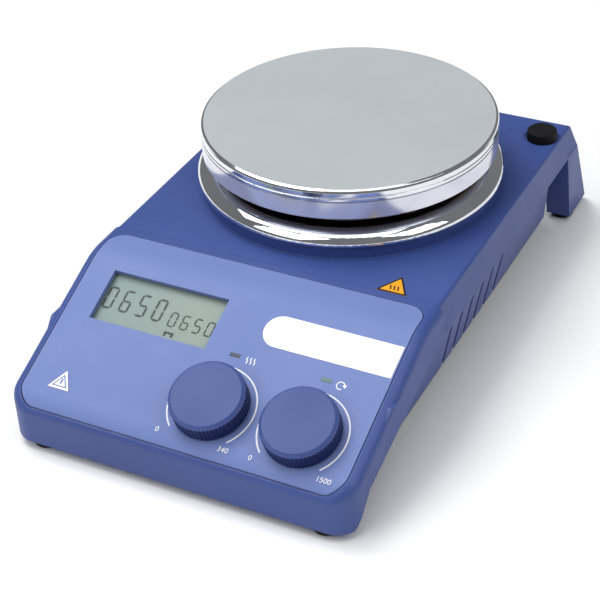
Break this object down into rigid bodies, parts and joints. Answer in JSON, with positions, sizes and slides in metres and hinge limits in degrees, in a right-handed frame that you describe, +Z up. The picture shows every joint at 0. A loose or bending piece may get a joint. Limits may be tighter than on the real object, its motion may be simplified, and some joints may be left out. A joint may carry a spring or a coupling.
{
  "type": "magnetic stirrer hotplate",
  "caption": "Laboratory magnetic stirrer with a round heated plate, a chrome heat shield, a sloping panel with display and dial knobs, and a wedge-shaped housing on rubber feet.",
  "frame": {"origin": "on the surface it stands on, below the middle of its outline", "axes": "+Z up, +Y from the control panel to the rear sockets, +X to the right seen from the front"},
  "size_m": [0.16, 0.28, 0.087],
  "materials": {
    "housing_paint": "fine textured",
    "panel_blue": "satin",
    "knob_blue": "satin",
    "window": "clear",
    "display_grey": "matte",
    "white_label": "satin",
    "yellow_label": "satin",
    "lamp": "frosted",
    "plate_top": "satin coated",
    "chrome": "polished",
    "steel": "satin",
    "zinc": "zinc plated",
    "mica": "matte",
    "wool": "fibrous",
    "copper": "enamelled wire",
    "magnet": "nickel plated",
    "alloy": "machined",
    "board": "solder resist",
    "black_plastic": "matte",
    "rubber": "matte",
    "silicone": "matte",
    "brass": "turned",
    "fuse_glass": "clear"
  },
  "bodies": {
    "stirrer": {"blank_label": "white_label", "board_posts": "brass", "board_screws": "zinc", "bottom_cover": "zinc", "bottom_shield": "steel", "bracket_screws": "zinc", "capacitors": "black_plastic", "caution_label": "white_label", "control_panel": "panel_blue", "cover_screws": "zinc", "data_port": "steel", "display_board": "board", "display_board_posts": "brass", "display_module": "display_grey", "display_window": "window", "foot_screws": "zinc", "front_feet": "rubber", "heat_control": "alloy", "heat_shield_pan": "chrome", "heat_sink": "alloy", "heater_plate": "chrome", "heating_element": "mica", "hot_surface_label": "yellow_label", "housing": "housing_paint", "indicator_leds": "lamp", "inlet_blades": "brass", "insulation_disc": "wool", "light_pipes": "lamp", "mains_inlet": "black_plastic", "motor_bearings": "steel", "motor_bracket": "steel", "motor_can": "alloy", "motor_screws": "zinc", "motor_stator": "copper", "overheat_cutout": "black_plastic", "pan_gasket": "silicone", "pillar_screws": "zinc", "plate_cap": "plate_top", "plate_pillars": "steel", "plate_sensor": "steel", "power_board": "board", "power_switch": "black_plastic", "rear_feet": "rubber", "rear_plate": "steel", "rear_plate_screws": "zinc", "rod_insert": "brass", "sensor_socket": "black_plastic", "stir_control": "alloy", "transformer": "magnet"},
    "heat_dial": {"heat_knob": "knob_blue", "heat_shaft": "steel"},
    "stir_dial": {"stir_knob": "knob_blue", "stir_shaft": "steel"},
    "magnet_rotor": {"motor_rotor": "steel", "magnet_holder": "alloy", "drive_magnets": "magnet"},
    "fuse_tray": {"fuse_drawer": "black_plastic", "fuses": "fuse_glass"},
    "rocker": {"power_rocker": "black_plastic"},
    "rod_plug": {"rod_hole_plug": "rubber"}
  },
  "joints": [
    {"name": "heat_knob_turn", "type": "hinge", "parent": "stirrer", "child": "heat_dial", "pos_m": [0.009, -0.11905, 0.03293], "axis": [0, -0.3872, 0.922], "range_deg": [-270, 0]},
    {"name": "stir_knob_turn", "type": "hinge", "parent": "stirrer", "child": "stir_dial", "pos_m": [0.05, -0.11905, 0.03293], "axis": [0, -0.3872, 0.922], "range_deg": [-270, 0]},
    {"name": "rotor_spin", "type": "hinge", "parent": "stirrer", "child": "magnet_rotor", "pos_m": [0, 0.033, 0.04], "axis": [0, 0, 1], "continuous": true},
    {"name": "fuse_tray_slide", "type": "slide", "parent": "stirrer", "child": "fuse_tray", "axis": [0, 1, 0], "range_m": [0, 0.014]},
    {"name": "rocker_tip", "type": "hinge", "parent": "stirrer", "child": "rocker", "pos_m": [0.004, 0.1126, 0.0305], "axis": [1, 0, 0], "range_deg": [0, 18]},
    {"name": "rod_plug_lift", "type": "slide", "parent": "stirrer", "child": "rod_plug", "axis": [0, 0, 1], "range_m": [0, 0.012]}
  ]
}
